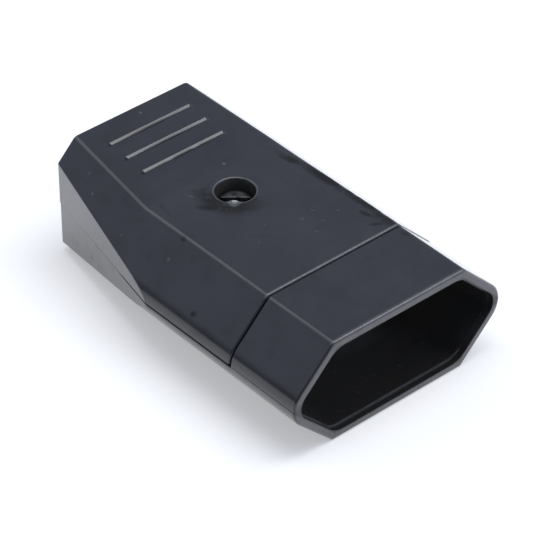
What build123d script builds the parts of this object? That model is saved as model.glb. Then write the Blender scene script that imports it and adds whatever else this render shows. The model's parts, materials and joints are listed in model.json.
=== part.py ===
from build123d import *
from math import sqrt
import os

os.makedirs("parts", exist_ok=True)

# Rewirable two-pole inline socket for flat two-pin plugs.
# Millimetres. X runs along the body to the mouth, Y across it, Z up.
# The origin is on the underside, at the middle of the length.

# Outside of the body
length = 62.4
height = 18.6
top_flat = 26.0
ridge_radius = 4.2
crease_from_mouth = 42.9
crease_radius = 12.0
rear_rise = 1.9
taper_from_mouth = 33.8
rear_width = 29.1
crest_radius = 1.3
edge_radius = 0.45

# Shells
wall = 1.6
seam_from_mouth = 14.1
seam_gap = 0.36
seam_edge = 0.3
parting_gap = 0.22
parting_lift = 0.14
cover_proud = 0.12
spigot_clearance = 0.15
lip_height = 1.2
lip_thickness = 0.7
lip_clearance = 0.15

# Plug recess
recess_wall = 1.6
recess_depth = 13.6
recess_corner = 2.4
lead_in_depth = 1.1
lead_in_step = 0.3
lead_in_corner = 4.0
plate_thickness = 2.4

# Contacts, and the plug's pins that they take
pin_spacing = 19.0
pin_length = 19.0
pin_end_clearance = 0.6
contact_bore = 4.1
sleeve_diameter = 5.8
sleeve_seat_depth = 0.8
sleeve_clearance = 0.1
slit_width = 0.6
slit_length = 13.0

# Spring rings round the contacts
ring_from_plate = 8.2
ring_width = 2.2
ring_thickness = 0.5
ring_gap = 1.2
ring_clearance = 0.03

# Terminals behind the contact sleeves
terminal_length = 7.4
terminal_width = 6.4
terminal_chamfer = 0.5
wire_hole = 2.6
wire_hole_depth = 6.0
terminal_screw_from_end = 3.4
terminal_screw_length = 3.0

# Ribs under and over the contact sleeves, and the barriers beside the terminals
rib_thickness = 1.8
rib_width = 5.0
rib_clearance = 0.05
front_rib_from_plate = 3.6
rear_rib_from_terminal = 3.0
barrier_thickness = 1.0
barrier_clearance = 0.15

# Closing screw, its bore in the cover and its nut in the base
closing_from_mouth = 37.1
closing_bore = 6.4
closing_rim = 0.25
closing_boss_wall = 1.4
closing_head_depth = 1.6
closing_head = 5.6
closing_head_height = 2.1
closing_tip_inset = 0.4
closing_slot_turn = 49.0
nut_across_flats = 5.5
nut_thickness = 2.4
nut_recess = 0.8
nut_clearance = 0.1

# Screws
screw_diameter = 3.0
screw_hole_clearance = 0.15
thread_clearance = 0.04
small_head = 5.0
small_head_height = 1.6
screw_end_room = 0.5
slot_width = 0.8
slot_depth = 0.8

# Cord inlet and cord clamp
cord_inlet = 6.8
inlet_edge = 0.6
clamp_from_rear = 9.0
clamp_width = 6.2
clamp_thickness = 3.0
clamp_arch = 6.0
clamp_screw_spacing = 14.4
clamp_seat = 1.2
clamp_post = 5.4
clamp_screw_length = 8.0
saddle_thickness = 3.0

# Grip grooves across the cover
groove_from_rear = 5.2
groove_pitch = 4.05
groove_count = 3
groove_width = 0.9
groove_depth = 0.18
groove_length = 16.0

# Places that follow from those sizes
mouth = length / 2
rear = -length / 2
middle = height / 2
ridge = top_flat / 2 + height / 2
rear_slope = abs(rear_width - top_flat) / sqrt(2)
crease = mouth - crease_from_mouth
seam = mouth - seam_from_mouth
plate_front = mouth - recess_depth
plate_back = plate_front - plate_thickness
contact_front = plate_back + sleeve_seat_depth - sleeve_clearance
terminal_front = plate_front - pin_length - pin_end_clearance
terminal_back = terminal_front - terminal_length
terminal_top = middle + terminal_width / 2
terminal_screw_x = terminal_back + terminal_screw_from_end
ring_x = plate_back - ring_from_plate
rib_places = (plate_back - front_rib_from_plate, terminal_front + rear_rib_from_terminal)
rib_reach = sleeve_diameter / 2 + rib_clearance
closing_x = mouth - closing_from_mouth
closing_boss = closing_bore + 2 * closing_boss_wall
closing_seat = height - closing_head_depth - closing_head_height
closing_screw_length = closing_seat - nut_recess - closing_tip_inset
clamp_x = rear + clamp_from_rear
clamp_bottom = middle + clamp_seat
contact_sides = {"left": pin_spacing / 2, "right": -pin_spacing / 2}
clamp_sides = (clamp_screw_spacing / 2, -clamp_screw_spacing / 2)
clearance_hole = screw_diameter / 2 + screw_hole_clearance
thread_hole = screw_diameter / 2 + thread_clearance


# The body's section: a flat hexagon with sides at 45 degrees and rounded ridges.
def hexagon(x, inset, top, corner=0):
    slant = ridge - inset * sqrt(2)
    low_half = slant - (middle - inset)
    top_half = slant - (top - middle)
    with BuildSketch(Plane.YZ.offset(x)) as section:
        with BuildLine():
            Polyline(
                (-low_half, inset),
                (low_half, inset),
                (slant, middle),
                (top_half, top),
                (-top_half, top),
                (-slant, middle),
                close=True,
            )
        make_face()
        if corner:
            fillet(section.vertices().sort_by(Axis.X)[1:-1], corner)
        ends = section.vertices().sort_by(Axis.X)
        fillet([ends[0], ends[-1]], ridge_radius - inset)
    return section.sketch


# The body's space: that section under the rising top and between the tapered side walls.
def body(inset, back, front):
    peak = height + rear_rise - inset
    rear_half = rear_width / 2 - inset
    ridge_half = ridge - ridge_radius * (sqrt(2) - 1)
    taper = (ridge_half - rear_width / 2) / (length - taper_from_mouth)
    margin = ridge_radius
    wide_half = ridge + margin
    wide_x = rear + (wide_half - rear_half) / taper
    with BuildPart() as space:
        extrude(hexagon(back, inset, peak + rear_rise), amount=front - back)
        with BuildSketch(Plane.XZ) as side:
            with BuildLine():
                Polyline(
                    (mouth + margin, -margin),
                    (mouth + margin, height - inset),
                    (crease, height - inset),
                    (rear, peak),
                    (rear - margin, peak),
                    (rear - margin, -margin),
                    close=True,
                )
            make_face()
            fillet(side.vertices().sort_by_distance((crease, height - inset))[0], crease_radius)
        extrude(amount=wide_half, both=True, mode=Mode.INTERSECT)
        with BuildSketch(Plane.XY.offset(-margin)) as plan:
            with BuildLine():
                Polyline(
                    (rear, rear_half),
                    (wide_x, wide_half),
                    (wide_x + length, wide_half),
                    (wide_x + length, -wide_half),
                    (wide_x, -wide_half),
                    (rear, -rear_half),
                    close=True,
                )
            make_face()
        extrude(amount=peak + 2 * margin, mode=Mode.INTERSECT)
    return space.part


# The body's space with its outer edges rounded. The ridges and the crease are smooth already.
def rounded_body(inset, back, front, front_edge):
    top = height - inset
    with BuildPart() as space:
        add(body(inset, back, front))
        lengthwise = space.edges().filter_by(Axis.Y, reverse=True)
        lengthwise = lengthwise.filter_by_position(Axis.X, back + edge_radius, front)
        fillet(lengthwise.filter_by_position(Axis.Z, top - edge_radius, top + rear_rise), crest_radius)
        flats = space.faces().filter_by(GeomType.PLANE)
        walls = flats.filter_by(lambda face: abs(face.normal_at().Y) > 0.9)
        outline = flats.sort_by(Axis.X)[0].edges() + flats.sort_by(Axis.Z)[0].edges() + walls.edges()
        outline = space.edges().filter_by(lambda edge: edge in outline)
        fillet(outline - space.edges().group_by(Axis.X)[-1], min(edge_radius, rear_slope / 3))
        fillet(space.edges().group_by(Axis.X)[-1], front_edge)
    return space.part


# A slab of the body between two heights, for what the two shells share at the parting plane.
def slab(inset, back, front, low, high):
    with BuildPart() as layer:
        add(body(inset, back, front))
        split(bisect_by=Plane.XY.offset(low), keep=Keep.TOP)
        split(bisect_by=Plane.XY.offset(high), keep=Keep.BOTTOM)
    return layer.part


# A slotted screw on the Z axis: the underside of its head is at zero and its shank points down.
def slotted_screw(head, head_height, shank_length, slot_turn=0):
    with BuildPart() as screw:
        with BuildSketch():
            Circle(head / 2)
        extrude(amount=head_height)
        with BuildSketch():
            Circle(screw_diameter / 2)
        extrude(amount=-shank_length)
        with BuildSketch(Plane.XY.offset(head_height)):
            Rectangle(head, slot_width, rotation=slot_turn)
        extrude(amount=-slot_depth, mode=Mode.SUBTRACT)
    return screw.part


inside = body(wall, rear + wall, plate_back)
cover_inside = body(wall, rear + wall, seam)
lip_inset = wall - lip_thickness
rebate_inset = lip_inset - lip_clearance

# Barriers beside the terminals. The outer ones stand on the sloping walls and end half way into them.
terminal_x = (terminal_front + terminal_back) / 2
barrier_offset = (terminal_width + barrier_thickness) / 2 + barrier_clearance
barrier_places = [y + barrier_offset for y in contact_sides.values()]
barrier_places += [y - barrier_offset for y in contact_sides.values()]
with BuildPart() as barriers:
    with BuildSketch():
        with Locations(*[(terminal_x, y) for y in barrier_places]):
            Rectangle(terminal_length, barrier_thickness)
    extrude(amount=middle)
    add(body(wall / 2, rear + wall / 2, plate_back), mode=Mode.INTERSECT)

# Base: the whole collar with the plug recess, and the lower half of the body behind it.
with BuildPart() as base_housing:
    add(rounded_body(0, rear, mouth, edge_radius))
    with BuildSketch(Plane.XZ) as cover_room:
        with BuildLine():
            Polyline(
                (seam, middle),
                (seam, height + ridge),
                (rear - ridge, height + ridge),
                (rear - ridge, middle),
                close=True,
            )
        make_face()
    extrude(amount=2 * ridge, both=True, mode=Mode.SUBTRACT)

    # The face plate goes on behind the collar as a spigot that the cover sits round.
    spigot_inset = wall + spigot_clearance
    extrude(hexagon(plate_back, spigot_inset, height - spigot_inset), amount=plate_front - plate_back)
    add(slab(lip_inset, rear + lip_inset, plate_back, middle, middle + lip_height))
    add(inside, mode=Mode.SUBTRACT)

    # Plug recess with its lead-in
    lead_in_inset = recess_wall - lead_in_step
    extrude(
        hexagon(plate_front, recess_wall, height - recess_wall, recess_corner),
        amount=recess_depth,
        mode=Mode.SUBTRACT,
    )
    extrude(
        hexagon(mouth - lead_in_depth, lead_in_inset, height - lead_in_inset, lead_in_corner),
        amount=lead_in_depth,
        mode=Mode.SUBTRACT,
    )

    # Ribs that the contact sleeves lie on, pedestals under the terminals and barriers beside them
    with BuildSketch(Plane.XY.offset(wall / 2)) as ribs:
        with Locations(*[(x, y) for x in rib_places for y in contact_sides.values()]):
            Rectangle(rib_thickness, rib_width)
    extrude(amount=middle - rib_reach - wall / 2)
    with BuildSketch(Plane.XY.offset(wall / 2)) as pedestals:
        with Locations(*[(terminal_x, y) for y in contact_sides.values()]):
            Rectangle(terminal_length, terminal_width / 2)
    extrude(amount=middle - terminal_width / 2 - wall / 2)
    add(barriers.part)

    # Posts for the closing screw and the clamp screws, and the saddle under the cord
    with BuildSketch(Plane.XY.offset(wall / 2)) as closing_post:
        with Locations((closing_x, 0)):
            Circle(closing_boss / 2)
    extrude(amount=middle - wall / 2)
    with BuildSketch(Plane.XY.offset(wall / 2)) as clamp_posts:
        with Locations(*[(clamp_x, y) for y in clamp_sides]):
            Circle(clamp_post / 2)
    extrude(amount=clamp_bottom - wall / 2)
    with BuildSketch(Plane.XY.offset(wall / 2)) as saddle:
        with Locations((clamp_x, 0)):
            Rectangle(saddle_thickness, clamp_screw_spacing)
    extrude(amount=middle - wall / 2)

    # Seats in the plate for the sleeves' ends, holes for the pins, and the way for the cord
    with BuildSketch(Plane.YZ.offset(plate_back)) as sleeve_seats:
        with Locations(*[(y, middle) for y in contact_sides.values()]):
            Circle(sleeve_diameter / 2 + sleeve_clearance)
    extrude(amount=sleeve_seat_depth, mode=Mode.SUBTRACT)
    with BuildSketch(Plane.YZ.offset(plate_back)) as pin_holes:
        with Locations(*[(y, middle) for y in contact_sides.values()]):
            Circle(contact_bore / 2)
    extrude(amount=plate_thickness, mode=Mode.SUBTRACT)
    with BuildSketch(Plane.YZ.offset(clamp_x + saddle_thickness)) as cord_seat:
        with Locations((0, middle)):
            Circle(clamp_arch / 2)
    extrude(amount=-2 * saddle_thickness, mode=Mode.SUBTRACT)
    with BuildSketch(Plane.YZ.offset(rear + 2 * wall)) as inlet:
        with Locations((0, middle)):
            Circle(cord_inlet / 2)
    extrude(amount=-3 * wall, mode=Mode.SUBTRACT)
    arcs = base_housing.edges().filter_by(GeomType.CIRCLE)
    chamfer(arcs.sort_by_distance((rear, 0, middle))[0], inlet_edge)

    # Screw holes and the nut's pocket in the underside
    with BuildSketch() as closing_hole:
        with Locations((closing_x, 0)):
            Circle(clearance_hole)
    extrude(amount=middle, mode=Mode.SUBTRACT)
    with BuildSketch() as nut_pocket:
        with Locations((closing_x, 0)):
            RegularPolygon(nut_across_flats / 2 + nut_clearance, 6, major_radius=False)
    extrude(amount=nut_recess + nut_thickness, mode=Mode.SUBTRACT)
    with BuildSketch(Plane.XY.offset(clamp_bottom)) as clamp_holes:
        with Locations(*[(clamp_x, y) for y in clamp_sides]):
            Circle(thread_hole)
    extrude(amount=-clamp_screw_length + clamp_thickness - screw_end_room, mode=Mode.SUBTRACT)
base_housing.part.label = "base_housing"
export_step(base_housing.part, "parts/base_housing.step")

# Cover: the upper half from the seam to the cord end. It stands a little open towards the seam.
parting = Plane(
    origin=(rear, 0, middle + parting_gap),
    x_dir=(seam - rear, 0, parting_lift),
    z_dir=(-parting_lift, 0, seam - rear),
)
with BuildPart() as top_cover:
    add(rounded_body(-cover_proud, rear, seam - seam_gap, seam_edge))
    split(bisect_by=parting, keep=Keep.TOP)
    add(cover_inside, mode=Mode.SUBTRACT)
    add(
        slab(rebate_inset, rear + rebate_inset, seam, middle, middle + lip_height + lip_clearance),
        mode=Mode.SUBTRACT,
    )

    # Ribs that hold the contacts down, and the boss round the closing screw
    with BuildSketch(Plane.XY.offset(middle + rib_reach)) as hold_downs:
        with Locations(*[(x, y) for x in rib_places for y in contact_sides.values()]):
            Rectangle(rib_thickness, rib_width)
    extrude(amount=middle - rib_reach - wall / 2)
    with BuildSketch(Plane.XY.offset(middle)) as closing_boss_foot:
        with Locations((closing_x, 0)):
            Circle(closing_boss / 2)
    extrude(amount=middle - wall / 2)

    # Bore for the closing screw's head, and the hole under it
    with BuildSketch(Plane.XY.offset(closing_seat)) as head_bore:
        with Locations((closing_x, 0)):
            Circle(closing_bore / 2)
    extrude(amount=height, mode=Mode.SUBTRACT)
    with BuildSketch(Plane.XY.offset(middle)) as shank_hole:
        with Locations((closing_x, 0)):
            Circle(clearance_hole)
    extrude(amount=middle, mode=Mode.SUBTRACT)

    arcs = top_cover.edges().filter_by(GeomType.CIRCLE)
    fillet(arcs.sort_by_distance((closing_x, 0, height + cover_proud))[0], closing_rim)

    # Grip grooves: shallow V cuts across the rising top
    rising_side = Plane(
        origin=(rear, 0, height + rear_rise + cover_proud),
        x_dir=(crease - rear, 0, -rear_rise),
        z_dir=(0, -1, 0),
    )
    with BuildSketch(rising_side) as grooves:
        with Locations(*[(groove_from_rear + n * groove_pitch, 0) for n in range(groove_count)]):
            Polygon(
                (-groove_width, groove_depth),
                (0, -groove_depth),
                (groove_width, groove_depth),
                align=None,
            )
    extrude(amount=groove_length / 2, both=True, mode=Mode.SUBTRACT)

    # The other half of the cord inlet
    with BuildSketch(Plane.YZ.offset(rear + 2 * wall)) as cover_inlet:
        with Locations((0, middle)):
            Circle(cord_inlet / 2)
    extrude(amount=-3 * wall, mode=Mode.SUBTRACT)
    arcs = top_cover.edges().filter_by(GeomType.CIRCLE)
    chamfer(arcs.sort_by_distance((rear, 0, middle))[0], inlet_edge)
top_cover.part.label = "top_cover"
export_step(top_cover.part, "parts/top_cover.step")


# A contact: a slit brass sleeve for the plug's pin, with a pillar terminal behind it.
def contact(y):
    with BuildPart() as piece:
        with BuildSketch(Plane.YZ.offset(terminal_front)):
            with Locations((y, middle)):
                Circle(sleeve_diameter / 2)
        extrude(amount=contact_front - terminal_front)
        with BuildSketch(Plane.YZ.offset(terminal_back)):
            with Locations((y, middle)):
                Rectangle(terminal_width, terminal_width)
        extrude(amount=terminal_length)
        chamfer(piece.edges().filter_by(Axis.X).group_by(SortBy.LENGTH)[0], terminal_chamfer)
        with BuildSketch(Plane.YZ.offset(terminal_front)):
            with Locations((y, middle)):
                Circle(contact_bore / 2)
        extrude(amount=contact_front - terminal_front, mode=Mode.SUBTRACT)
        with BuildSketch(Plane.XZ.offset(-y)):
            with Locations((contact_front, middle)):
                Rectangle(2 * slit_length, slit_width)
        extrude(amount=sleeve_diameter, both=True, mode=Mode.SUBTRACT)
        with BuildSketch(Plane.YZ.offset(terminal_back)):
            with Locations((y, middle)):
                Circle(wire_hole / 2)
        extrude(amount=wire_hole_depth, mode=Mode.SUBTRACT)
        with BuildSketch(Plane.XY.offset(terminal_top)):
            with Locations((terminal_screw_x, y)):
                Circle(thread_hole)
        extrude(amount=-terminal_screw_length - screw_end_room, mode=Mode.SUBTRACT)
    return piece.part


# A spring ring: an open steel ring round a sleeve.
def spring_ring(y):
    with BuildPart() as piece:
        with BuildSketch(Plane.YZ.offset(ring_x - ring_width / 2)):
            with Locations((y, middle)):
                Circle(sleeve_diameter / 2 + ring_clearance + ring_thickness)
                Circle(sleeve_diameter / 2 + ring_clearance, mode=Mode.SUBTRACT)
            with Locations((y, middle + sleeve_diameter / 2)):
                Rectangle(ring_gap, sleeve_diameter, mode=Mode.SUBTRACT)
        extrude(amount=ring_width)
    return piece.part


for side, y in contact_sides.items():
    brass = contact(y)
    brass.label = f"{side}_contact"
    export_step(brass, f"parts/{side}_contact.step")
    ring = spring_ring(y)
    ring.label = f"{side}_spring_ring"
    export_step(ring, f"parts/{side}_spring_ring.step")

# Screws of the two terminals
with BuildPart() as terminal_screws:
    with Locations(*[(terminal_screw_x, y, terminal_top) for y in contact_sides.values()]):
        add(slotted_screw(small_head, small_head_height, terminal_screw_length))
terminal_screws.part.label = "terminal_screws"
export_step(terminal_screws.part, "parts/terminal_screws.step")

# Screw that closes the body
with BuildPart() as cover_screw:
    with Locations((closing_x, 0, closing_seat)):
        add(slotted_screw(closing_head, closing_head_height, closing_screw_length, closing_slot_turn))
cover_screw.part.label = "cover_screw"
export_step(cover_screw.part, "parts/cover_screw.step")

# Nut in the underside of the base
with BuildPart() as captive_nut:
    with BuildSketch(Plane.XY.offset(nut_recess)) as nut_outline:
        with Locations((closing_x, 0)):
            RegularPolygon(nut_across_flats / 2, 6, major_radius=False)
            Circle(thread_hole, mode=Mode.SUBTRACT)
    extrude(amount=nut_thickness)
captive_nut.part.label = "captive_nut"
export_step(captive_nut.part, "parts/captive_nut.step")

# Strap that clamps the cord on its saddle
with BuildPart() as cord_clamp:
    with BuildSketch(Plane.XY.offset(clamp_bottom)) as strap:
        with Locations((clamp_x, 0)):
            SlotCenterToCenter(clamp_screw_spacing, clamp_width, rotation=90)
        with Locations(*[(clamp_x, y) for y in clamp_sides]):
            Circle(clearance_hole, mode=Mode.SUBTRACT)
    extrude(amount=clamp_thickness)
    with BuildSketch(Plane.YZ.offset(clamp_x - clamp_width)) as arch:
        with Locations((0, middle)):
            Circle(clamp_arch / 2)
    extrude(amount=2 * clamp_width, mode=Mode.SUBTRACT)
cord_clamp.part.label = "cord_clamp"
export_step(cord_clamp.part, "parts/cord_clamp.step")

# Screws of the strap
with BuildPart() as clamp_screws:
    with Locations(*[(clamp_x, y, clamp_bottom + clamp_thickness) for y in clamp_sides]):
        add(slotted_screw(small_head, small_head_height, clamp_screw_length))
clamp_screws.part.label = "clamp_screws"
export_step(clamp_screws.part, "parts/clamp_screws.step")
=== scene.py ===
import json
import math

import bmesh
import bpy
from mathutils import Matrix, Vector, noise


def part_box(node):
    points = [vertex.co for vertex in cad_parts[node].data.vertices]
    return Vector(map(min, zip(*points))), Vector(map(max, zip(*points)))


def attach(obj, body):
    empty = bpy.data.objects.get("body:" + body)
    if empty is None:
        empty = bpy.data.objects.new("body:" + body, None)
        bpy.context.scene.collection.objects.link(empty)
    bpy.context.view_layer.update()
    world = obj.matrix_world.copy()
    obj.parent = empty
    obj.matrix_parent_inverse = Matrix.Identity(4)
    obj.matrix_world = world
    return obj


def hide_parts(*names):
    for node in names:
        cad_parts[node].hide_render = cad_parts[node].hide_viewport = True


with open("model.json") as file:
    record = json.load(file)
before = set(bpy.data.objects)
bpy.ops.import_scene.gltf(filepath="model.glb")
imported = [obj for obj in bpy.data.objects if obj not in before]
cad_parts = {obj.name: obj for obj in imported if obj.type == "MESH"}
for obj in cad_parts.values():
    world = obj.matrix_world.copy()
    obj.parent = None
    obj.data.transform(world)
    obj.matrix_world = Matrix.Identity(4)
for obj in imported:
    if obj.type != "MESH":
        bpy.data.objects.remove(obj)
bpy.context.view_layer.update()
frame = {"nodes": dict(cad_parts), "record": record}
nodes = frame["nodes"]
scene = bpy.context.scene
mm = 0.001
print("frame loaded:", len(nodes), "nodes")


# camera: the photograph's viewing angle, for a square image of 536 pixels
viewpoint = {
    "azimuth": math.radians(49.04),
    "elevation": math.radians(38.05),
    "roll": math.radians(-0.03),
    "distance": 477.8 * mm,
    "aimPoint": Vector((31.2, 0, 0)) * mm,
    "shiftRight": -19.34 * mm,
    "shiftUp": 20.14 * mm,
    "pixelFocal": 3205.44,
    "imageSize": 536,
    "sensor": 36.0,
    "clip": (0.01, 20),
}


def makeCamera(v):
    a, e, r = v["azimuth"], v["elevation"], v["roll"]
    back = Vector((math.sin(a) * math.cos(e), -math.cos(a) * math.cos(e), math.sin(e)))
    level = Vector((math.cos(a), math.sin(a), 0))
    upright = back.cross(level)
    right = level * math.cos(r) + upright * math.sin(r)
    up = upright * math.cos(r) - level * math.sin(r)
    data = bpy.data.cameras.new("photoCamera")
    data.sensor_width = v["sensor"]
    data.lens = v["pixelFocal"] / v["imageSize"] * v["sensor"]
    data.clip_start, data.clip_end = v["clip"]
    camera = bpy.data.objects.new("photoCamera", data)
    scene.collection.objects.link(camera)
    place = v["aimPoint"] + back * v["distance"] + right * v["shiftRight"] + up * v["shiftUp"]
    turn = Matrix((right, up, back)).transposed().to_4x4()
    camera.matrix_world = Matrix.Translation(place) @ turn
    scene.camera = camera


makeCamera(viewpoint)
print("camera set")


# small helpers for shader nodes
def newMaterial(name):
    material = bpy.data.materials.new(name)
    material.use_nodes = True
    tree = material.node_tree
    tree.nodes.clear()
    output = tree.nodes.new("ShaderNodeOutputMaterial")
    return material, tree, output


def addNode(tree, kind, **settings):
    node = tree.nodes.new(kind)
    for key, value in settings.items():
        if hasattr(node, key):
            setattr(node, key, value)
        else:
            node.inputs[key.replace("_", " ")].default_value = value
    return node


def wire(tree, source, outName, target, inName):
    tree.links.new(source.outputs[outName], target.inputs[inName])


def twoTone(tree, value, stops, dark, pale):
    node = tree.nodes.new("ShaderNodeValToRGB")
    for element, position, color in zip(node.color_ramp.elements, stops, (dark, pale)):
        element.position, element.color = position, color
    tree.links.new(value, node.inputs["Fac"])
    return node.outputs["Color"]


def join(tree, operation, first, second):
    node = addNode(tree, "ShaderNodeMath", operation=operation)
    for socket, value in zip(node.inputs, (first, second)):
        if isinstance(value, float):
            socket.default_value = value
        else:
            tree.links.new(value, socket)
    return node.outputs[0]


def product(tree, first, *others):
    for other in others:
        first = join(tree, "MULTIPLY", first, other)
    return first


def strongest(tree, first, *others):
    for other in others:
        first = join(tree, "MAXIMUM", first, other)
    return first


def fade(tree, value, start, end):
    node = addNode(tree, "ShaderNodeMapRange", interpolation_type="SMOOTHSTEP")
    node.inputs["From Min"].default_value = start
    node.inputs["From Max"].default_value = end
    tree.links.new(value, node.inputs["Value"])
    return node.outputs["Result"]


def band(tree, value, start, full, still, end):
    return product(tree, fade(tree, value, start, full), fade(tree, value, end, still))


def span(tree, value, low, high):
    node = addNode(tree, "ShaderNodeMapRange")
    node.inputs["To Min"].default_value = low
    node.inputs["To Max"].default_value = high
    tree.links.new(value, node.inputs["Value"])
    return node.outputs["Result"]


def mixColor(tree, factor, first, second):
    node = addNode(tree, "ShaderNodeMix", data_type="RGBA")  # its colour sockets are 6 and 7, and 2 comes out
    tree.links.new(factor, node.inputs[0])
    tree.links.new(first, node.inputs[6])
    node.inputs[7].default_value = second
    return node.outputs[2]


def distance(tree, vector):
    node = addNode(tree, "ShaderNodeVectorMath", operation="LENGTH")
    tree.links.new(vector, node.inputs[0])
    return node.outputs["Value"]


def facing(tree, vector, direction):
    node = addNode(tree, "ShaderNodeVectorMath", operation="DOT_PRODUCT")
    node.inputs[1].default_value = direction
    tree.links.new(vector, node.inputs[0])
    return node.outputs["Value"]


def noiseOn(tree, vector, settings):
    node = addNode(tree, "ShaderNodeTexNoise", **settings)
    tree.links.new(vector, node.inputs["Vector"])
    return node


# studio: pale floor, a bluish room with a darker and a brighter side, and two soft panels
studio = {
    "floorHalf": 0.75,
    "floorColor": (0.66, 0.66, 0.66, 1),
    "floorLift": 0.39,
    "roomHigh": (0.40, 0.445, 0.56, 1),
    "roomLow": (0.10, 0.11, 0.13, 1),
    "roomRise": 0.45,
    "darkSide": (0.758, -0.652, 0.0),
    "darkReach": (0.0, 0.7),
    "darkLevel": 0.30,
    "lean": (1.30, 0.83),
    "leanReach": (-0.6, 0.6),
    "brightSide": (0.77, 0.64, 0.0),
    "brightReach": (0.05, 0.75),
    "brightLevel": 2.9,
    "panels": {
        "overheadPanel": {"place": (0.08, 0.15, 0.75), "size": (0.35, 0.75), "power": 3.8},
        "backPanel": {"place": (-0.45, -0.10, 0.59), "size": (0.38, 0.34), "power": 0.42},
    },
}


def makeFloor(s):
    bm = bmesh.new()
    bmesh.ops.create_grid(bm, x_segments=1, y_segments=1, size=s["floorHalf"])
    mesh = bpy.data.meshes.new("studioFloor")
    bm.to_mesh(mesh)
    bm.free()
    floor = bpy.data.objects.new("studioFloor", mesh)
    scene.collection.objects.link(floor)
    material, tree, output = newMaterial("floorWhite")
    diffuse = addNode(tree, "ShaderNodeBsdfDiffuse", Color=s["floorColor"])
    lift = addNode(tree, "ShaderNodeEmission")
    path = addNode(tree, "ShaderNodeLightPath")
    seen = strongest(
        tree, path.outputs["Is Camera Ray"], path.outputs["Is Glossy Ray"], path.outputs["Is Transmission Ray"],
    )
    tree.links.new(span(tree, seen, 0.0, s["floorLift"]), lift.inputs["Strength"])
    both = addNode(tree, "ShaderNodeAddShader")
    wire(tree, diffuse, "BSDF", both, 0)
    wire(tree, lift, "Emission", both, 1)
    wire(tree, both, "Shader", output, "Surface")
    mesh.materials.append(material)


def makeRoom(s):
    world = bpy.data.worlds.new("studioRoom")
    scene.world = world
    world.use_nodes = True
    tree = world.node_tree
    background = tree.nodes["Background"]
    coords = addNode(tree, "ShaderNodeTexCoord")
    split = addNode(tree, "ShaderNodeSeparateXYZ")
    wire(tree, coords, "Generated", split, "Vector")
    rise = fade(tree, split.outputs["Z"], 0.0, s["roomRise"])
    tone = twoTone(tree, rise, (0.0, 1.0), s["roomLow"], s["roomHigh"])
    tree.links.new(tone, background.inputs["Color"])
    strength = span(tree, fade(tree, split.outputs["Y"], *s["leanReach"]), *s["lean"])
    for side in ("dark", "bright"):
        turned = facing(tree, coords.outputs["Generated"], s[side + "Side"])
        level = span(tree, fade(tree, turned, *s[side + "Reach"]), 1.0, s[side + "Level"])
        strength = product(tree, strength, level)
    tree.links.new(strength, background.inputs["Strength"])


def makePanel(name, p):
    data = bpy.data.lights.new(name, "AREA")
    data.shape = "RECTANGLE"
    data.size, data.size_y = p["size"]
    data.energy = p["power"]
    panel = bpy.data.objects.new(name, data)
    scene.collection.objects.link(panel)
    panel.location = p["place"]
    panel.rotation_euler = (-panel.location).to_track_quat("-Z", "Y").to_euler()


makeFloor(studio)
makeRoom(studio)
for panelName, panelValues in studio["panels"].items():
    makePanel(panelName, panelValues)
scene.view_settings.view_transform = "Standard"
print("studio set")


# black moulded plastic of the two shells, with the marks of use that the photograph shows
# some of the marks below are painted highlights, painted light and painted shade rather than marks of use
boreCenter = Vector((-5.9, 0.0, 0.0)) * mm
shellFinish = {
    "dark": (0.0165, 0.0172, 0.0195, 1),
    "pale": (0.0235, 0.0245, 0.0280, 1),
    "gloss": 1.37,
    "roughness": (0.20, 0.27),
    "coatRoughness": 0.13,
    "toneStops": (0.3, 0.7),
    "cloud": {"Scale": 140.0, "Detail": 4.0, "Roughness": 0.55},
    "blot": {"Scale": 620.0, "Detail": 3.0, "Roughness": 0.6},
    "smear": {"Scale": 330.0, "Detail": 5.0, "Roughness": 0.6},
    "grain": {"Scale": 900.0, "Detail": 3.0},
    "grainHeight": 0.008 * mm,
    "grainStrength": 0.4,
    # the soil colour also paints shade in the grooves and beside the joint, and the pale colours below also
    # paint highlights and light
    "soilAndShadeColor": (0.0042, 0.0040, 0.0038, 1),
    "scuffAndLightColor": (0.075, 0.078, 0.084, 1),
    "paintedLightColor": (0.24, 0.24, 0.245, 1),
    "dustAndLightColor": (0.074, 0.070, 0.063, 1),
    "wornHighlightColor": (0.096, 0.097, 0.100, 1),
    "soilWander": 0.7 * mm,
    "soilRings": (3.45 * mm, 3.65 * mm, 4.7 * mm, 7.2 * mm),
    "soilSide": (0.42, -0.907, 0.0),
    "soilSpread": (-0.15, 0.85),
    "soilPatches": (0.25, 0.5),
    "soilDull": 0.35,
    "scuffDull": 0.2,
    "smudge": (0.50, 0.74),
    "smudgeWeight": 0.16,
    "wornPatches": (0.35, 0.65),
    "wornRange": (0.7, 1.0),
}
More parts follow.
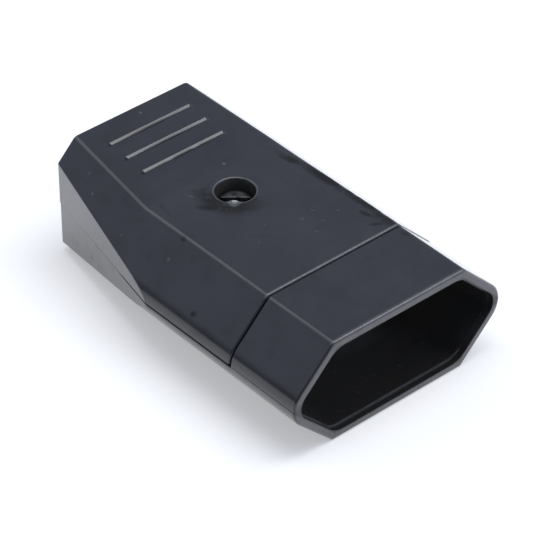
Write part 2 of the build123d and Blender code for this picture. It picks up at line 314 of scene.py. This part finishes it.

# soil, scuffs, and pale patches for painted highlights and painted light: place and half sizes in mm, turn in
# degrees
soilMarks = [
    {"place": (-6.5, 11.6, 18.7), "half": (4.0, 1.1, 1.2), "turn": 10, "weight": 0.9},
    {"place": (1.0, 12.5, 18.6), "half": (8.0, 1.6, 1.6), "turn": 3, "weight": 1.0},
    {"place": (9.0, 12.9, 18.5), "half": (8.5, 1.6, 1.6), "turn": 1, "weight": 1.0},
    {"place": (14.5, 12.4, 18.6), "half": (3.6, 1.7, 1.6), "turn": 5, "weight": 0.9},
    {"place": (11.6, 11.0, 18.7), "half": (1.7, 0.75, 1.0), "turn": 10, "weight": 0.9},
    {"place": (14.6, 10.5, 18.7), "half": (1.7, 0.55, 1.0), "turn": 60, "weight": 0.8},
    {"place": (18.8, 12.3, 18.5), "half": (1.4, 0.9, 1.0), "turn": 0, "weight": 0.6},
    {"place": (-9.4, -11.2, 18.8), "half": (3.6, 0.6, 1.0), "turn": -10, "weight": 0.35},
    {"place": (-2.1, -13.4, 18.4), "half": (0.75, 0.6, 0.8), "turn": 0, "weight": 0.8},
    {"place": (7.0, -19.2, 12.5), "half": (0.85, 0.8, 0.8), "turn": 0, "weight": 1.0},
    {"place": (-9.0, -4.6, 18.7), "half": (2.2, 0.6, 0.8), "turn": 25, "weight": 0.5},
    {"place": (-4.9, -5.6, 18.7), "half": (3.2, 1.25, 1.0), "turn": 45, "weight": 1.0},
    {"place": (-2.75, -4.3, 18.7), "half": (1.5, 0.85, 1.0), "turn": 45, "weight": 0.9},
    {"place": (-2.0, 0.2, 18.7), "half": (1.8, 0.8, 1.0), "turn": 102, "weight": 0.8},
]
# x and height of the three grip grooves, with painted shade along them that dims their lit face, and a painted
# shadow in a pit at each near end
grooves = ((-26.0, 19.93), (-21.95, 19.54), (-17.9, 19.14))
grooveShadeMarks = [
    {"place": (x + 0.1, 0, z), "half": (0.62, 10.0, 0.6), "turn": 0, "weight": 1.0} for x, z in grooves
]
pitShadeMarks = [
    {"place": (x + 0.05, -8.35, z), "half": (0.52, 0.44, 0.6), "turn": 0, "weight": 1.0} for x, z in grooves
]
scuffAndLightMarks = [
    {"place": (-29.3, 0.5, 20.4), "half": (0.35, 0.28, 0.5), "turn": 0, "weight": 0.8},
    {"place": (-12.2, 3.1, 18.8), "half": (0.36, 0.32, 0.5), "turn": 0, "weight": 1.0},
    {"place": (-24.5, -13.6, 18.1), "half": (0.25, 0.25, 0.4), "turn": 0, "weight": 0.7},
    {"place": (-21.8, -15.2, 16.5), "half": (0.30, 0.25, 0.4), "turn": 0, "weight": 0.7},
    {"place": (-12.6, -17.0, 14.7), "half": (0.25, 0.25, 0.4), "turn": 0, "weight": 0.6},
    {"place": (-2.4, -16.1, 15.6), "half": (0.30, 0.45, 0.5), "turn": 0, "weight": 0.7},
    {"place": (6.2, 2.9, 18.7), "half": (0.55, 0.18, 0.5), "turn": 80, "weight": 0.7},
    {"place": (9.95, 2.5, 18.7), "half": (0.75, 0.16, 0.5), "turn": 72, "weight": 0.5},
    {"place": (5.6, 5.5, 18.7), "half": (0.25, 0.22, 0.5), "turn": 0, "weight": 0.6},
    {"place": (8.2, 8.4, 18.7), "half": (0.30, 0.20, 0.5), "turn": 60, "weight": 0.6},
    {"place": (8.6, 5.0, 18.7), "half": (0.45, 0.20, 0.5), "turn": 75, "weight": 0.35},
    {"place": (6.35, -5.8, 18.7), "half": (0.25, 0.22, 0.5), "turn": 0, "weight": 0.5},
    {"place": (3.6, -2.35, 18.7), "half": (0.22, 0.22, 0.5), "turn": 0, "weight": 0.5},
    {"place": (-9.1, -6.1, 18.7), "half": (0.9, 0.2, 0.5), "turn": 20, "weight": 0.5},
    # pale paint at the far end of each groove: painted light over the shade of the groove's end
    {"place": (-26.0, 7.95, 19.9), "half": (0.6, 0.3, 0.6), "turn": 0, "weight": 1.0},
    {"place": (-21.95, 7.95, 19.5), "half": (0.6, 0.3, 0.6), "turn": 0, "weight": 1.0},
    {"place": (-17.9, 7.95, 19.1), "half": (0.6, 0.3, 0.6), "turn": 0, "weight": 1.0},
]
chipMarks = [
    {"place": (-3.3, -2.5, 18.9), "half": (0.72, 1.3, 0.6), "turn": -43.7, "weight": 1.0},
]
# pale patches: a painted highlight on the nick at the bore, which is partly whitened plastic, painted highlights
# on the lit face of the last groove, and painted light on the recess floor by the back plate
paintedLightMarks = [
    {"place": (-3.68, -2.12, 19.0), "half": (0.42, 0.62, 0.30), "turn": -43.7, "weight": 1.0},
    {"place": (-18.1, 2.25, 19.2), "half": (0.4, 1.3, 0.4), "turn": 0, "weight": 0.30},
    {"place": (-18.1, -2.85, 19.2), "half": (0.4, 1.3, 0.4), "turn": 0, "weight": 0.25},
    {"place": (17.9, 4.0, 1.6), "half": (2.6, 7.5, 2.2), "turn": -5, "weight": 0.22},
]
# how much of each mark fades, from its edge inwards
softness = {"soilAndShade": 0.75, "groove": 1.0, "pit": 0.6, "scuffAndLight": 0.6, "chip": 0.8, "paintedLight": 0.7}


def markField(tree, vector, marks, soft):
    spots = []
    for mark in marks:
        local = addNode(tree, "ShaderNodeMapping", vector_type="TEXTURE")
        local.inputs["Location"].default_value = Vector(mark["place"]) * mm
        local.inputs["Rotation"].default_value = (0, 0, math.radians(mark["turn"]))
        local.inputs["Scale"].default_value = Vector(mark["half"]) * mm
        tree.links.new(vector, local.inputs["Vector"])
        spot = fade(tree, distance(tree, local.outputs["Vector"]), 1.0, 1.0 - soft)
        spots.append(product(tree, spot, mark["weight"]))
    return strongest(tree, *spots)


def boreOffset(tree, vector):
    node = addNode(tree, "ShaderNodeVectorMath", operation="MULTIPLY_ADD")
    node.inputs[1].default_value = (1, 1, 0)
    node.inputs[2].default_value = -boreCenter
    tree.links.new(vector, node.inputs[0])
    return node.outputs["Vector"]


def boreReach(tree, vector):
    return distance(tree, boreOffset(tree, vector))


def soilRing(tree, vector, f):
    offset = boreOffset(tree, vector)
    aim = addNode(tree, "ShaderNodeVectorMath", operation="NORMALIZE")
    tree.links.new(offset, aim.inputs[0])
    side = facing(tree, aim.outputs["Vector"], f["soilSide"])
    return product(tree, band(tree, distance(tree, offset), *f["soilRings"]), fade(tree, side, *f["soilSpread"]))


# plug recess, found by the distance inwards from the collar's outside: paler deep in it, dust and painted light,
# and darker towards its floor
recess = {
    "middle": 9.3 * mm,
    "ridge": 22.3 * mm,
    "inset": (1.12 * mm, 1.25 * mm),
    "plate": (17.4 * mm, 17.7 * mm),
    "mouth": (30.6 * mm, 18.0 * mm),
    "dustAndLightRange": (0.15, 1.0),
    "low": (5.0 * mm, 2.0 * mm),
    "lowDarkRange": (0.0, 0.75),
}

# pale edges at the mouth, the seam, the step and the bore: painted highlights, with some wear on the mouth's
# face; grime and painted shade in the shells' joint; dust and painted light on the bore's wall
wearAndPaintedLight = {
    "rim": (31.04 * mm, 31.18 * mm),
    "rimTop": (30.35 * mm, 30.95 * mm),
    "seamEdge": (16.20 * mm, 16.50 * mm, 16.80 * mm, 16.95 * mm),
    "topEdge": (18.1 * mm, 18.45 * mm),
    "step": (29.88 * mm, 30.02 * mm, 30.12 * mm, 30.20 * mm),
    "stepTop": (3.0 * mm, 1.9 * mm),
    "joint": (0.34 * mm, 0.14 * mm),
    "jointEnds": (-13.0 * mm, -9.0 * mm, 17.0 * mm, 17.2 * mm),
    "boreWall": (3.50 * mm, 3.30 * mm),
    "boreDepth": (18.47 * mm, 18.30 * mm),
    "boreDustAndLight": 0.75,
    "boreRim": (3.12 * mm, 3.20 * mm, 3.42 * mm, 3.56 * mm),
    "boreRimWeight": 0.7,
}


# pale along the edges: painted highlights on the seam, the mouth's top edge, the recess step and the bore's rim,
# and wear with painted light on the mouth's face
def edgeWearAndHighlights(tree, vector, split, inside, w):
    x, z = split.outputs["X"], split.outputs["Z"]
    topEdge = fade(tree, z, *w["topEdge"])
    bore = product(tree, band(tree, boreReach(tree, vector), *w["boreRim"]), topEdge, w["boreRimWeight"])
    seam = product(tree, band(tree, x, *w["seamEdge"]), topEdge)
    mouth = product(tree, fade(tree, x, *w["rimTop"]), topEdge)
    step = product(tree, band(tree, x, *w["step"]), inside, fade(tree, z, *w["stepTop"]))
    return strongest(tree, seam, mouth, step, bore, fade(tree, x, *w["rim"]))


# pale on the bore's wall below its rim: dust, and painted light that lifts the shaded wall
def boreDustAndLight(tree, vector, split, w):
    wall = fade(tree, boreReach(tree, vector), *w["boreWall"])
    return product(tree, wall, fade(tree, split.outputs["Z"], *w["boreDepth"]), w["boreDustAndLight"])


def offMiddle(tree, split):
    return join(tree, "ABSOLUTE", join(tree, "SUBTRACT", split.outputs["Z"], recess["middle"]), 0.0)


def recessInside(tree, split, r):
    rise = offMiddle(tree, split)
    wide = join(tree, "ABSOLUTE", split.outputs["Y"], 0.0)
    slant = join(tree, "SUBTRACT", r["ridge"], join(tree, "ADD", rise, wide))
    slant = product(tree, slant, math.sqrt(0.5))
    inset = join(tree, "MINIMUM", slant, join(tree, "SUBTRACT", r["middle"], rise))
    return product(tree, fade(tree, inset, *r["inset"]), fade(tree, split.outputs["X"], *r["plate"]))


# paler towards the back plate: dust, and painted light where the lamps leave the recess dark
def recessDustAndLight(tree, split, inside, r):
    return product(tree, inside, span(tree, fade(tree, split.outputs["X"], *r["mouth"]), *r["dustAndLightRange"]))


# darker towards the floor of the recess
def recessLowDarkening(tree, split, inside, r):
    return product(tree, inside, span(tree, fade(tree, split.outputs["Z"], *r["low"]), *r["lowDarkRange"]))


# darker beside the shells' joint: grime, and painted shade that widens the joint's dark line
def jointGrimeAndShade(tree, split, w):
    along = band(tree, split.outputs["X"], *w["jointEnds"])
    return product(tree, fade(tree, offMiddle(tree, split), *w["joint"]), along)


# object coordinates shaken by a noise, which makes the edges of the soil ragged
def wandering(tree, place, blot, f):
    shaken = addNode(tree, "ShaderNodeVectorMath", operation="MULTIPLY_ADD")
    shaken.inputs[1].default_value = (f["soilWander"],) * 3
    wire(tree, blot, "Color", shaken, 0)
    tree.links.new(place, shaken.inputs[2])
    centered = addNode(tree, "ShaderNodeVectorMath", operation="SUBTRACT")
    centered.inputs[1].default_value = (f["soilWander"] / 2,) * 3
    wire(tree, shaken, "Vector", centered, 0)
    return centered.outputs["Vector"]


def makeShellPlastic(f):
    material, tree, output = newMaterial("blackMouldedPlastic")
    shader = addNode(
        tree, "ShaderNodeBsdfPrincipled", IOR=f["gloss"], Coat_IOR=f["gloss"],
        Coat_Roughness=f["coatRoughness"],
    )
    place = addNode(tree, "ShaderNodeTexCoord").outputs["Object"]
    split = addNode(tree, "ShaderNodeSeparateXYZ")
    tree.links.new(place, split.inputs[0])
    cloud, blot, smear, grain = [
        noiseOn(tree, place, f[name]) for name in ("cloud", "blot", "smear", "grain")
    ]
    moved = wandering(tree, place, blot, f)

    # where the marks are
    soilAndShade = strongest(tree, soilRing(tree, moved, f), markField(tree, moved, soilMarks, softness["soilAndShade"]))
    soilAndShade = product(tree, soilAndShade, fade(tree, blot.outputs["Fac"], *f["soilPatches"]))
    smudge = product(tree, fade(tree, smear.outputs["Fac"], *f["smudge"]), f["smudgeWeight"])
    # the groove and pit marks are painted shade, and the joint's grime is partly painted shade
    soilAndShade = strongest(
        tree, soilAndShade, smudge, jointGrimeAndShade(tree, split, wearAndPaintedLight),
        markField(tree, place, grooveShadeMarks, softness["groove"]),
        markField(tree, place, pitShadeMarks, softness["pit"]),
    )
    scuffAndLight = strongest(
        tree, markField(tree, place, scuffAndLightMarks, softness["scuffAndLight"]),
        markField(tree, moved, chipMarks, softness["chip"]),
    )
    # painted highlights and painted light in a pale colour
    paintedLight = markField(tree, place, paintedLightMarks, softness["paintedLight"])
    inside = recessInside(tree, split, recess)
    dustAndLight = strongest(tree, recessDustAndLight(tree, split, inside, recess), boreDustAndLight(tree, place, split, wearAndPaintedLight))
    patches = span(tree, fade(tree, blot.outputs["Fac"], *f["wornPatches"]), *f["wornRange"])
    wornAndHighlight = product(tree, edgeWearAndHighlights(tree, place, split, inside, wearAndPaintedLight), patches)

    # colour, roughness, coat and grain
    color = twoTone(tree, cloud.outputs["Fac"], f["toneStops"], f["dark"], f["pale"])
    color = mixColor(tree, soilAndShade, color, f["soilAndShadeColor"])
    color = mixColor(tree, recessLowDarkening(tree, split, inside, recess), color, f["soilAndShadeColor"])
    color = mixColor(tree, dustAndLight, color, f["dustAndLightColor"])
    color = mixColor(tree, scuffAndLight, color, f["scuffAndLightColor"])
    color = mixColor(tree, paintedLight, color, f["paintedLightColor"])
    color = mixColor(tree, wornAndHighlight, color, f["wornHighlightColor"])
    tree.links.new(color, shader.inputs["Base Color"])
    dull = join(tree, "ADD", span(tree, soilAndShade, 0.0, f["soilDull"]), span(tree, scuffAndLight, 0.0, f["scuffDull"]))
    rough = join(tree, "ADD", span(tree, cloud.outputs["Fac"], *f["roughness"]), dull)
    tree.links.new(rough, shader.inputs["Roughness"])
    matte = strongest(tree, soilAndShade, inside)
    tree.links.new(span(tree, matte, 1.0, 0.0), shader.inputs["Coat Weight"])
    bump = addNode(tree, "ShaderNodeBump", Strength=f["grainStrength"], Distance=f["grainHeight"])
    wire(tree, grain, "Fac", bump, "Height")
    wire(tree, bump, "Normal", shader, "Normal")
    wire(tree, shader, "BSDF", output, "Surface")
    return material


# metals and the clamp's plastic: two tones, roughness range, the texture's scale each way and its depth
finishes = {
    "zincSteel": {
        "dark": (0.22, 0.22, 0.23, 1), "pale": (0.42, 0.42, 0.44, 1), "metal": 1.0,
        "roughness": (0.34, 0.52), "stretch": (900, 900, 900), "depth": 0.006 * mm,
    },
    # dark steel whose head darkens towards its edge: painted shade that dims the glints down in the bore
    "darkSteel": {
        "dark": (0.042, 0.042, 0.043, 1), "pale": (0.125, 0.125, 0.130, 1), "metal": 1.0,
        "roughness": (0.46, 0.64), "stretch": (900, 900, 900), "depth": 0.006 * mm,
        "edgeShade": (1.7 * mm, 2.6 * mm), "edgeShadeColor": (0.012, 0.012, 0.011, 1),
    },
    "turnedBrass": {
        "dark": (0.55, 0.36, 0.13, 1), "pale": (0.80, 0.59, 0.26, 1), "metal": 1.0,
        "roughness": (0.18, 0.36), "stretch": (5200, 260, 260), "depth": 0.004 * mm,
    },
    "springSteel": {
        "dark": (0.36, 0.36, 0.39, 1), "pale": (0.60, 0.60, 0.63, 1), "metal": 1.0,
        "roughness": (0.22, 0.38), "stretch": (4200, 300, 300), "depth": 0.004 * mm,
    },
    "matteClampPlastic": {
        "dark": (0.030, 0.030, 0.034, 1), "pale": (0.055, 0.055, 0.060, 1), "metal": 0.0,
        "roughness": (0.48, 0.66), "stretch": (1500, 1500, 1500), "depth": 0.020 * mm,
    },
}
# what these finishes share
finishDetail = {
    "texture": {"Scale": 1.0, "Detail": 5.0, "Roughness": 0.6},
    "toneStops": (0.32, 0.62),
    "bumpStrength": 0.5,
}


def makeFinish(name, f):
    material, tree, output = newMaterial(name)
    shader = addNode(tree, "ShaderNodeBsdfPrincipled", Metallic=f["metal"])
    place = addNode(tree, "ShaderNodeTexCoord").outputs["Object"]
    local = addNode(tree, "ShaderNodeMapping", Scale=f["stretch"])
    tree.links.new(place, local.inputs["Vector"])
    texture = noiseOn(tree, local.outputs["Vector"], finishDetail["texture"])
    color = twoTone(tree, texture.outputs["Fac"], finishDetail["toneStops"], f["dark"], f["pale"])
    if "edgeShade" in f:
        color = mixColor(tree, fade(tree, boreReach(tree, place), *f["edgeShade"]), color, f["edgeShadeColor"])
    tree.links.new(color, shader.inputs["Base Color"])
    tree.links.new(span(tree, texture.outputs["Fac"], *f["roughness"]), shader.inputs["Roughness"])
    bump = addNode(tree, "ShaderNodeBump", Strength=finishDetail["bumpStrength"], Distance=f["depth"])
    wire(tree, texture, "Fac", bump, "Height")
    wire(tree, bump, "Normal", shader, "Normal")
    wire(tree, shader, "BSDF", output, "Surface")
    return material


materials = {name: makeFinish(name, values) for name, values in finishes.items()}
materials["blackMouldedPlastic"] = makeShellPlastic(shellFinish)
materialOfSlot = {
    "shell": materials["blackMouldedPlastic"],
    "screws": materials["zincSteel"],
    "contacts": materials["turnedBrass"],
    "springs": materials["springSteel"],
    "clamp": materials["matteClampPlastic"],
}
for subpart in frame["record"]["subparts"]:
    mesh = nodes[subpart["node"]].data
    mesh.materials.clear()
    mesh.materials.append(materialOfSlot[subpart["material_slot"]])
print("materials set")


# smooth shading over the fillets of the CAD nodes, with flat faces kept flat
shading = {
    "mergeDistance": 0.0005 * mm,
    "sharpAngle": math.radians(30),
    "grooveAngle": math.radians(12),
    "grooveLow": Vector((-27.5, -8.2, 18.8)) * mm,
    "grooveHigh": Vector((-16.5, 8.2, 20.6)) * mm,
}


def makeShadingGroup(s):
    group = bpy.data.node_groups.new("smoothFillets", "GeometryNodeTree")
    group.interface.new_socket("Geometry", in_out="INPUT", socket_type="NodeSocketGeometry")
    group.interface.new_socket("Geometry", in_out="OUTPUT", socket_type="NodeSocketGeometry")
    start = group.nodes.new("NodeGroupInput")
    end = group.nodes.new("NodeGroupOutput")
    merge = group.nodes.new("GeometryNodeMergeByDistance")
    merge.inputs["Distance"].default_value = s["mergeDistance"]
    faces = group.nodes.new("GeometryNodeSetShadeSmooth")
    faces.domain = "FACE"
    edges = group.nodes.new("GeometryNodeSetShadeSmooth")
    edges.domain = "EDGE"
    edges.inputs["Shade Smooth"].default_value = False
    angle = group.nodes.new("GeometryNodeInputMeshEdgeAngle")
    sharp = group.nodes.new("FunctionNodeCompare")
    sharp.data_type = "FLOAT"
    sharp.operation = "GREATER_THAN"
    limit = group.nodes.new("GeometryNodeSwitch")
    limit.input_type = "FLOAT"
    limit.inputs["False"].default_value = s["sharpAngle"]
    limit.inputs["True"].default_value = s["grooveAngle"]
    place = group.nodes.new("GeometryNodeInputPosition")
    within = None
    for operation, corner in (("GREATER_THAN", s["grooveLow"]), ("LESS_THAN", s["grooveHigh"])):
        test = group.nodes.new("FunctionNodeCompare")
        test.data_type = "VECTOR"
        test.mode = "ELEMENT"
        test.operation = operation
        group.links.new(place.outputs[0], test.inputs[4])  # 4 and 5 are its vector sockets
        test.inputs[5].default_value = corner
        if within is None:
            within = test.outputs["Result"]
        else:
            both = group.nodes.new("FunctionNodeBooleanMath")
            group.links.new(within, both.inputs[0])
            group.links.new(test.outputs["Result"], both.inputs[1])
            within = both.outputs[0]
    group.links.new(within, limit.inputs["Switch"])
    group.links.new(limit.outputs[0], sharp.inputs["B"])
    group.links.new(start.outputs[0], merge.inputs["Geometry"])
    group.links.new(merge.outputs["Geometry"], faces.inputs["Geometry"])
    group.links.new(faces.outputs["Geometry"], edges.inputs["Geometry"])
    group.links.new(angle.outputs["Unsigned Angle"], sharp.inputs["A"])
    group.links.new(sharp.outputs["Result"], edges.inputs["Selection"])
    group.links.new(edges.outputs["Geometry"], end.inputs[0])
    return group


def smoothen(target):
    smoothing = target.modifiers.new("smoothFillets", "NODES")
    smoothing.node_group = shadingGroup
    weighting = target.modifiers.new("flatFaces", "WEIGHTED_NORMAL")
    weighting.keep_sharp = True


shadingGroup = makeShadingGroup(shading)
for node in nodes.values():
    smoothen(node)
print("shading set")


# pieces: a finished bmesh becomes an object on the one body
def makePiece(name, bm, slotName, finish=None):
    bmesh.ops.remove_doubles(bm, verts=bm.verts, dist=shading["mergeDistance"])
    bmesh.ops.recalc_face_normals(bm, faces=bm.faces)
    mesh = bpy.data.meshes.new(name)
    bm.to_mesh(mesh)
    bm.free()
    piece = bpy.data.objects.new(name, mesh)
    scene.collection.objects.link(piece)
    mesh.materials.append(finish or materialOfSlot[slotName])
    smoothen(piece)
    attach(piece, "root")
    return piece


def boxOf(name):
    low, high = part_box(name)
    return Vector(low), Vector(high)


# closing screw: a slightly domed, slotted head over a threaded shank
coverScrew = {
    "headHeight": 2.1 * mm,
    "domeHeight": 0.14 * mm,
    "edgeRound": 0.16 * mm,
    "coreRadius": 1.26 * mm,
    "crestRadius": 1.5 * mm,
    "pitch": 0.5 * mm,
    "tipTaper": 0.5 * mm,
    "slotAngle": math.radians(49),
    "slotHalf": 0.5 * mm,
    "slotDepth": 0.95 * mm,
    "slotEdge": 0.04 * mm,
    "crest": (0.42, 0.58),
    "steps": 72,
    "domeSteps": 12,
    "threadSteps": 28,
}


def makeScrew(name, c):
    low, high = boxOf("cover_screw")
    middle = (low + high) / 2
    top, tip = high.z, low.z
    headRadius = (high.x - low.x) / 2
    seat = top - c["headHeight"]
    domeRadius = (headRadius ** 2 + c["domeHeight"] ** 2) / (2 * c["domeHeight"])
    bm = bmesh.new()
    apex = bm.verts.new((0, 0, top))
    arc = bmesh.ops.spin(
        bm, geom=[apex], cent=(0, 0, top - domeRadius), axis=(0, 1, 0),
        angle=math.asin((headRadius - c["edgeRound"]) / domeRadius), steps=c["domeSteps"],
    )
    last = [item for item in arc["geom_last"] if isinstance(item, bmesh.types.BMVert)][0]
    outline = [
        (headRadius, last.co.z - c["edgeRound"]),
        (headRadius, seat + c["edgeRound"]),
        (headRadius - c["edgeRound"], seat),
        (c["coreRadius"], seat),
        (c["coreRadius"], tip + c["tipTaper"]),
        (c["coreRadius"] - c["tipTaper"], tip),
        (0, tip),
    ]
    for radius, z in outline:
        corner = bm.verts.new((radius, 0, z))
        bm.edges.new((last, corner))
        last = corner
    bmesh.ops.spin(
        bm, geom=bm.verts[:] + bm.edges[:], cent=(0, 0, 0), axis=(0, 0, 1),
        angle=2 * math.pi, steps=c["steps"], use_merge=True,
    )
    bmesh.ops.remove_doubles(bm, verts=bm.verts, dist=shading["mergeDistance"])

    # slot: cut twice along each side, then lower the strip between and a little of its edges
    across = Vector((-math.sin(c["slotAngle"]), math.cos(c["slotAngle"]), 0))
    wide = c["slotHalf"] + c["slotEdge"]
    for offset in (-wide, -c["slotHalf"], c["slotHalf"], wide):
        bmesh.ops.bisect_plane(
            bm, geom=bm.verts[:] + bm.edges[:] + bm.faces[:],
            plane_co=across * offset, plane_no=across,
        )
    slotFloor = top - c["slotDepth"]
    for vert in bm.verts:
        reach = abs(vert.co.dot(across))
        if vert.co.z > slotFloor and reach < c["slotHalf"] + shading["mergeDistance"]:
            vert.co.z = slotFloor
        elif vert.co.z > slotFloor and reach < wide + shading["mergeDistance"]:
            vert.co.z -= c["slotEdge"]

    # thread round the shank
    turns = int((seat - tip - 2 * c["tipTaper"]) / c["pitch"]) - 1
    start = tip + c["tipTaper"]
    crestLow, crestHigh = [start + share * c["pitch"] for share in c["crest"]]
    tooth = [
        bm.verts.new((c["coreRadius"], 0, start)),
        bm.verts.new((c["crestRadius"], 0, crestLow)),
        bm.verts.new((c["crestRadius"], 0, crestHigh)),
        bm.verts.new((c["coreRadius"], 0, start + c["pitch"])),
    ]
    flanks = [bm.edges.new(pair) for pair in zip(tooth, tooth[1:])]
    bmesh.ops.spin(
        bm, geom=tooth + flanks, cent=(0, 0, 0), axis=(0, 0, 1), dvec=(0, 0, c["pitch"] / c["threadSteps"]),
        angle=2 * math.pi * turns, steps=c["threadSteps"] * turns,
    )
    bmesh.ops.translate(bm, verts=bm.verts, vec=(middle.x, middle.y, 0))
    piece = makePiece(name, bm, "screws", materials["darkSteel"])
    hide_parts("cover_screw")


makeScrew("coverScrew", coverScrew)
print("cover screw made")


# nut in the underside: a hexagon with chamfered corners and a chamfered hole
captiveNut = {
    "acrossFlats": 5.5 * mm,
    "holeRadius": 1.3 * mm,
    "holeChamfer": 0.25 * mm,
    "cornerCut": 0.1 * mm,
    "cornerSlope": math.tan(math.radians(30)),
    "points": 72,
}


def makeNut(name, n):
    low, high = boxOf("captive_nut")
    middle = (low + high) / 2
    flat = n["acrossFlats"] / 2
    sixth = math.pi / 3
    firstCorner = 0 if high.x - low.x > high.y - low.y else sixth / 2
    bm = bmesh.new()

    def ring(radius, z, hexagon=False):
        verts = bmesh.ops.create_circle(
            bm, segments=n["points"], radius=radius, matrix=Matrix.Translation((0, 0, z)),
        )["verts"]
        inward = 1 if z < middle.z else -1
        for vert in verts if hexagon else []:
            fold = (math.atan2(vert.co.y, vert.co.x) - firstCorner) % sixth - sixth / 2
            reach = flat / math.cos(fold)
            vert.co.x *= reach / radius
            vert.co.y *= reach / radius
            vert.co.z += inward * (reach - flat + n["cornerCut"]) * n["cornerSlope"]
        own = set(verts)
        return [edge for edge in bm.edges if own.issuperset(edge.verts)]

    holeEdge = n["holeRadius"] + n["holeChamfer"]
    faceEdge = flat - n["cornerCut"]
    rings = [
        ring(n["holeRadius"], low.z + n["holeChamfer"]),
        ring(holeEdge, low.z),
        ring(faceEdge, low.z),
        ring(flat, low.z, hexagon=True),
        ring(flat, high.z, hexagon=True),
        ring(faceEdge, high.z),
        ring(holeEdge, high.z),
        ring(n["holeRadius"], high.z - n["holeChamfer"]),
    ]
    for first, second in zip(rings, rings[1:] + rings[:1]):
        bmesh.ops.bridge_loops(bm, edges=first + second)
    bmesh.ops.translate(bm, verts=bm.verts, vec=(middle.x, middle.y, 0))
    piece = makePiece(name, bm, "screws")
    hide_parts("captive_nut")


makeNut("captiveNut", captiveNut)
print("nut made")


# mould line along both ridges of the collar, from the seam to the mouth's edge
mouldLine = {
    "start": 17.5 * mm,
    "mouthEdge": 0.6 * mm,
    "halfWidth": 0.10 * mm,
    "proud": {"near": 0.05 * mm, "far": 0.015 * mm},
    "sides": 10,
}


def makeMouldLine(name, m):
    low, high = boxOf("base_housing")
    middle = (low.z + high.z) / 2
    bm = bmesh.new()
    for side, reach, proud in ((1, high.y, m["proud"]["far"]), (-1, -low.y, m["proud"]["near"])):
        section = bmesh.ops.create_circle(bm, cap_ends=True, segments=m["sides"], radius=1.0)["verts"]
        bmesh.ops.scale(bm, verts=section, vec=(m["halfWidth"], proud, 1))
        bmesh.ops.rotate(bm, verts=section, matrix=Matrix.Rotation(math.radians(90), 3, "Y"))
        bmesh.ops.translate(bm, verts=section, vec=(m["start"], side * reach, middle))
        caps = [face for face in bm.faces if all(vert in section for vert in face.verts)]
        grown = bmesh.ops.extrude_face_region(bm, geom=caps)["geom"]
        ends = [item for item in grown if isinstance(item, bmesh.types.BMVert)]
        bmesh.ops.translate(bm, verts=ends, vec=(high.x - m["mouthEdge"] - m["start"], 0, 0))
    makePiece(name, bm, "shell")


makeMouldLine("mouldLine", mouldLine)
print("mould line made")


# rim nick: where a screwdriver has pushed up the near edge of the screw's bore
rimNick = {
    "direction": math.radians(-43.7),
    "reach": (4.35 * mm, 3.02 * mm),
    "halfLength": 1.2 * mm,
    "surface": 18.70 * mm,
    "rise": 0.36 * mm,
    "foot": 0.25 * mm,
    "wander": 0.02 * mm,
    "waves": (3.1, 2.7, 0.4),
    "roundness": 1.3,
    "grid": (14, 16),
}


def makeNick(name, n):
    bm = bmesh.new()
    bmesh.ops.create_grid(bm, x_segments=n["grid"][0], y_segments=n["grid"][1], size=1.0)
    out = Vector((math.cos(n["direction"]), math.sin(n["direction"]), 0))
    along = Vector((-out.y, out.x, 0))
    far, near = n["reach"]
    waveIn, waveAlong, waveStart = n["waves"]
    for vert in bm.verts:
        inward = (vert.co.x + 1) / 2
        sideways = vert.co.y
        swell = (1 - sideways ** 2) ** n["roundness"]
        ragged = n["wander"] * noise.noise(Vector((waveIn * inward, waveAlong * sideways, waveStart)))
        radius = far + (near - far) * inward
        place = boreCenter + out * radius + along * sideways * n["halfLength"]
        place.z = n["surface"] + (n["rise"] * inward ** 2 + ragged) * swell
        vert.co = place
    grown = bmesh.ops.extrude_face_region(bm, geom=bm.faces[:])["geom"]
    below = [item for item in grown if isinstance(item, bmesh.types.BMVert)]
    for vert in below:
        vert.co.z = n["surface"] - n["foot"]
    makePiece(name, bm, "shell")


makeNick("rimNick", rimNick)
print("rim nick made")
